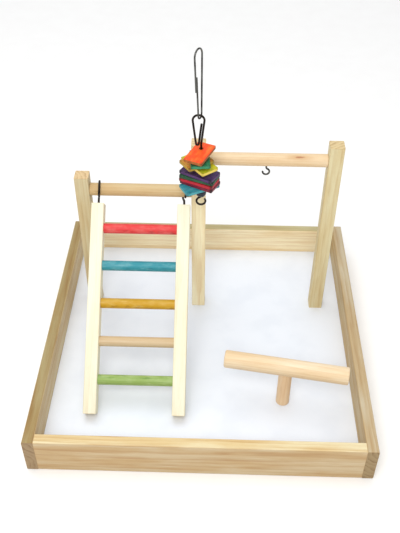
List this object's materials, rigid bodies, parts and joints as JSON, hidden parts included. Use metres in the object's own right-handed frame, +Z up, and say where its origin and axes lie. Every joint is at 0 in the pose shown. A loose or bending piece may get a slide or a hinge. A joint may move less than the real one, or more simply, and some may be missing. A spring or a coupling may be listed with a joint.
{
  "type": "parrot play stand",
  "caption": "Tabletop parrot play stand: wooden tray with white floor, square posts, round perches, hinged ladder, swivelling T perch and a hanging toy of coloured wood tiles.",
  "frame": {"origin": "centre of the underside of the tray", "axes": "+Z up, +Y towards the back rail, +X to the right as seen from the front rail"},
  "size_m": [0.32, 0.32, 0.3273],
  "materials": {
    "rail_wood": "satin",
    "post_wood": "satin",
    "perch_wood": "satin",
    "pale_wood": "satin",
    "white_board": "satin",
    "red_dye": "satin",
    "blue_dye": "satin",
    "yellow_dye": "satin",
    "green_dye": "satin",
    "tile_orange_dye": "satin",
    "tile_amber_dye": "satin",
    "tile_green_dye": "satin",
    "tile_lime_dye": "satin",
    "tile_purple_dye": "satin",
    "tile_leaf_dye": "satin",
    "tile_red_dye": "satin",
    "tile_plum_dye": "satin",
    "tile_teal_dye": "satin",
    "dark_wire": "satin",
    "bead": "gloss",
    "steel_wire": "satin",
    "zinc": "satin"
  },
  "bodies": {
    "stand": {"front_rail": "rail_wood", "back_rail": "rail_wood", "left_rail": "rail_wood", "right_rail": "rail_wood", "base_panel": "white_board", "corner_nails": "zinc", "panel_nails": "zinc", "left_post": "post_wood", "middle_post": "post_wood", "right_post": "post_wood", "post_screws": "zinc", "left_perch": "perch_wood", "right_perch": "perch_wood", "perch_screws": "zinc", "cup_hook": "steel_wire", "toy_screw_eye": "dark_wire"},
    "ladder": {"ladder_left_stile": "pale_wood", "ladder_right_stile": "pale_wood", "rung_red": "red_dye", "rung_blue": "blue_dye", "rung_yellow": "yellow_dye", "rung_natural": "pale_wood", "rung_green": "green_dye", "ladder_left_eye": "dark_wire", "ladder_right_eye": "dark_wire"},
    "t_perch": {"t_perch_stem": "perch_wood", "t_perch_bar": "perch_wood", "t_perch_screw": "zinc"},
    "toy_wire": {"toy_wire": "dark_wire"},
    "toy_bead": {"toy_bead": "bead"},
    "tile_orange": {"tile_orange": "tile_orange_dye"},
    "tile_green": {"tile_green": "tile_green_dye"},
    "tile_amber": {"tile_amber": "tile_amber_dye"},
    "tile_lime": {"tile_lime": "tile_lime_dye"},
    "tile_purple": {"tile_purple": "tile_purple_dye"},
    "tile_leaf": {"tile_leaf": "tile_leaf_dye"},
    "tile_red": {"tile_red": "tile_red_dye"},
    "tile_plum": {"tile_plum": "tile_plum_dye"},
    "tile_teal": {"tile_teal": "tile_teal_dye"},
    "snap_clip": {"snap_clip": "steel_wire"},
    "snap_clip_gate": {"snap_clip_gate": "steel_wire"}
  },
  "joints": [
    {"name": "ladder_swing", "type": "hinge", "parent": "stand", "child": "ladder", "pos_m": [-0.06475, 0.0595, 0.162], "axis": [-1, 0, 0], "range_deg": [0, 48]},
    {"name": "t_perch_turn", "type": "hinge", "parent": "stand", "child": "t_perch", "pos_m": [0.08, -0.08, 0.009], "axis": [0, 0, 1], "continuous": true},
    {"name": "toy_turn", "type": "hinge", "parent": "stand", "child": "toy_wire", "pos_m": [-0.0047, 0.03134, 0.2105], "axis": [0, 0, 1], "continuous": true},
    {"name": "bead_spin", "type": "hinge", "parent": "toy_wire", "child": "toy_bead", "pos_m": [-0.0047, 0.03134, 0.1814], "axis": [0, 0, 1], "continuous": true},
    {"name": "tile_orange_spin", "type": "hinge", "parent": "toy_wire", "child": "tile_orange", "pos_m": [-0.0047, 0.03134, 0.22885], "axis": [0, 0, 1], "continuous": true},
    {"name": "tile_green_spin", "type": "hinge", "parent": "toy_wire", "child": "tile_green", "pos_m": [-0.0047, 0.03134, 0.22135], "axis": [0, 0, 1], "continuous": true},
    {"name": "tile_amber_spin", "type": "hinge", "parent": "toy_wire", "child": "tile_amber", "pos_m": [-0.0047, 0.03134, 0.21745], "axis": [0, 0, 1], "continuous": true},
    {"name": "tile_lime_spin", "type": "hinge", "parent": "toy_wire", "child": "tile_lime", "pos_m": [-0.0047, 0.03134, 0.21355], "axis": [0, 0, 1], "continuous": true},
    {"name": "tile_purple_spin", "type": "hinge", "parent": "toy_wire", "child": "tile_purple", "pos_m": [-0.0047, 0.03134, 0.20385], "axis": [0, 0, 1], "continuous": true},
    {"name": "tile_leaf_spin", "type": "hinge", "parent": "toy_wire", "child": "tile_leaf", "pos_m": [-0.0047, 0.03134, 0.19995], "axis": [0, 0, 1], "continuous": true},
    {"name": "tile_red_spin", "type": "hinge", "parent": "toy_wire", "child": "tile_red", "pos_m": [-0.0047, 0.03134, 0.19605], "axis": [0, 0, 1], "continuous": true},
    {"name": "tile_plum_spin", "type": "hinge", "parent": "toy_wire", "child": "tile_plum", "pos_m": [-0.0047, 0.03134, 0.19215], "axis": [0, 0, 1], "continuous": true},
    {"name": "tile_teal_spin", "type": "hinge", "parent": "toy_wire", "child": "tile_teal", "pos_m": [-0.0047, 0.03134, 0.18825], "axis": [0, 0, 1], "continuous": true},
    {"name": "clip_tilt", "type": "hinge", "parent": "toy_wire", "child": "snap_clip", "pos_m": [-0.00588, 0.03134, 0.26471], "axis": [1, 0, 0], "range_deg": [-45, 45]},
    {"name": "clip_gate_spring", "type": "hinge", "parent": "snap_clip", "child": "snap_clip_gate", "pos_m": [-0.00724, 0.02878, 0.26481], "axis": [-0.8823, 0.4695, -0.0339], "range_deg": [0, 6], "stiffness_Nm_per_rad": 0.02}
  ]
}
